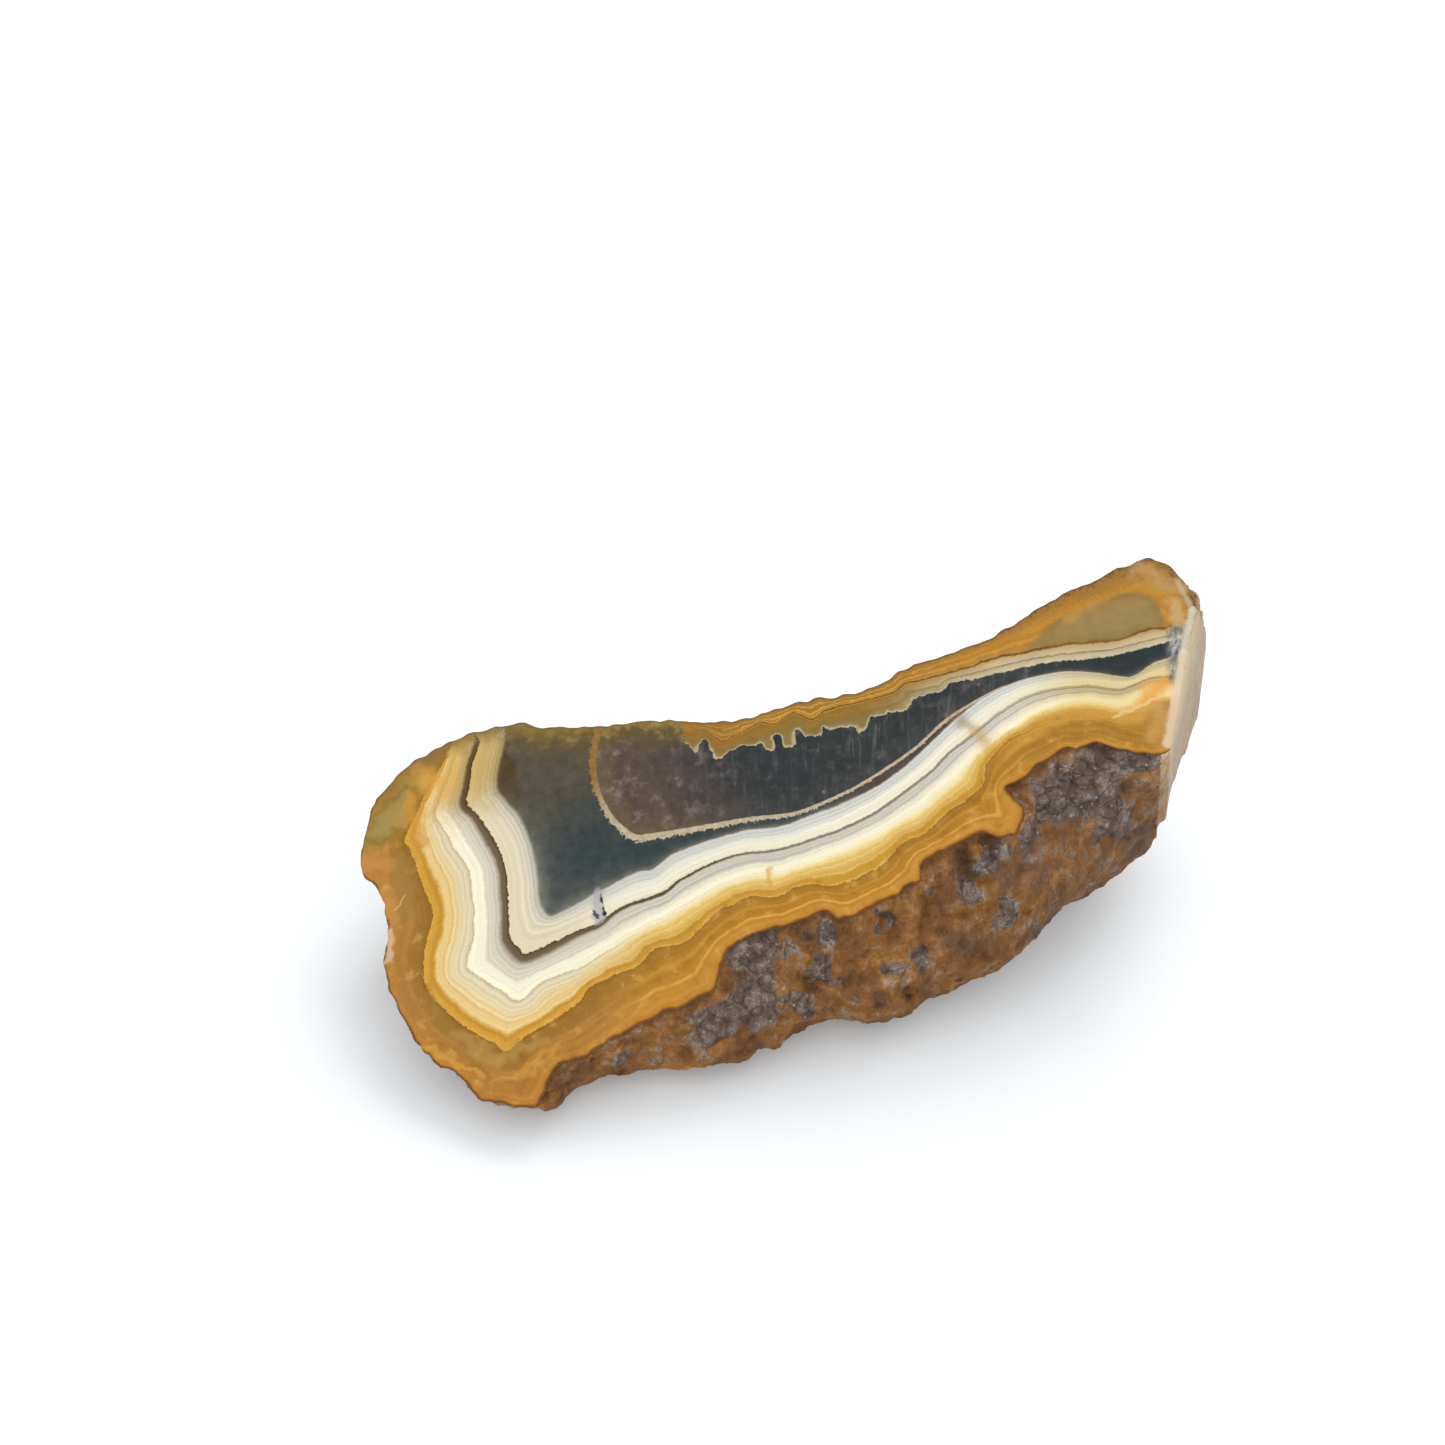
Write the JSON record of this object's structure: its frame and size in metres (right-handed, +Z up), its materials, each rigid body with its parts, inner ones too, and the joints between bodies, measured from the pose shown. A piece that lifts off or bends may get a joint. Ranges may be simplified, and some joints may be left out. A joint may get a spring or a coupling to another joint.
{
  "type": "agate nodule half",
  "caption": "Sawn half of a natural agate nodule with a flat polished cut face and a rough, knobbly rind, resting on a small flat spot.",
  "frame": {"origin": "centre of the small flat spot that the stone rests on", "axes": "+Z up, +X along the stone towards its thick broken end, +Y towards its back; the cut face leans towards -Y"},
  "size_m": [0.0877, 0.0528, 0.033],
  "materials": {
    "agate": "cut face polished and banded in ochre, cream, white and dark blue-grey; rind rough and rusty orange-brown with grey-mauve knobs"
  },
  "bodies": {
    "root": {"nodule_half": "agate"}
  },
  "joints": []
}
